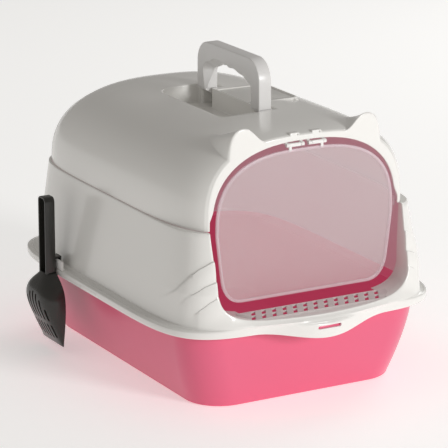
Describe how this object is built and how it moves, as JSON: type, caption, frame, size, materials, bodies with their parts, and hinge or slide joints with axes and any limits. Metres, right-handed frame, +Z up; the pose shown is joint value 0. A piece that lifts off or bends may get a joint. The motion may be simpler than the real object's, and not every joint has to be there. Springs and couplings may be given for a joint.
{
  "type": "hooded cat litter box",
  "caption": "Covered cat litter box: a pan, a two-part hood with cat ears, a swinging translucent door, a fold-down carry handle, a roof filter and a scoop on a side rail",
  "frame": {"origin": "centre of the pan's flat underside, on the floor", "axes": "+Z up, the doorway faces -Y, X to the right as seen from the front; the box is longest along Y"},
  "size_m": [0.4193, 0.521, 0.399],
  "materials": {
    "white_plastic": "glossy moulded, faint flow lines",
    "pink_plastic": "glossy moulded",
    "step_plastic": "semi-gloss moulded",
    "frosted_plastic": "frosted translucent plastic with a lighter rim",
    "pin_plastic": "smooth",
    "clip_plastic": "semi-gloss moulded",
    "handle_plastic": "glossy moulded",
    "lid_plastic": "glossy moulded",
    "tray_plastic": "matte moulded",
    "carbon": "matt felt with carbon",
    "charcoal_plastic": "glossy moulded"
  },
  "bodies": {
    "pan": {"litter_pan": "pink_plastic"},
    "skirt": {"lower_hood": "white_plastic", "step_grid": "step_plastic", "scoop_holder": "clip_plastic"},
    "top": {"upper_hood": "white_plastic", "hinge_clip_left": "clip_plastic", "hinge_clip_right": "clip_plastic", "door_pin_left": "pin_plastic", "door_pin_right": "pin_plastic", "handle_pin_front": "pin_plastic", "handle_pin_rear": "pin_plastic", "filter_tray": "tray_plastic", "carbon_filter": "carbon", "lid_pin_front": "pin_plastic", "lid_pin_rear": "pin_plastic"},
    "door": {"door_flap": "frosted_plastic"},
    "handle": {"carry_handle": "handle_plastic"},
    "lid": {"filter_lid": "lid_plastic"},
    "scoop": {"litter_scoop": "charcoal_plastic"}
  },
  "joints": [
    {"name": "hood_lift", "type": "slide", "parent": "pan", "child": "skirt", "axis": [0, 0, 1], "range_m": [0, 0.12]},
    {"name": "lid_lift", "type": "slide", "parent": "skirt", "child": "top", "axis": [0, 0, 1], "range_m": [0, 0.12]},
    {"name": "door_swing", "type": "hinge", "parent": "top", "child": "door", "pos_m": [0, -0.209, 0.3195], "axis": [1, 0, 0], "range_deg": [-80, 70]},
    {"name": "handle_fold", "type": "hinge", "parent": "top", "child": "handle", "pos_m": [0.0145, -0.0215, 0.331], "axis": [0, -1, 0], "range_deg": [0, 88]},
    {"name": "lid_open", "type": "hinge", "parent": "top", "child": "lid", "pos_m": [0.0708, -0.017, 0.3339], "axis": [0, 1, 0], "range_deg": [0, 100]},
    {"name": "scoop_lift", "type": "slide", "parent": "skirt", "child": "scoop", "axis": [0, 0, 1], "range_m": [0, 0.1]}
  ]
}
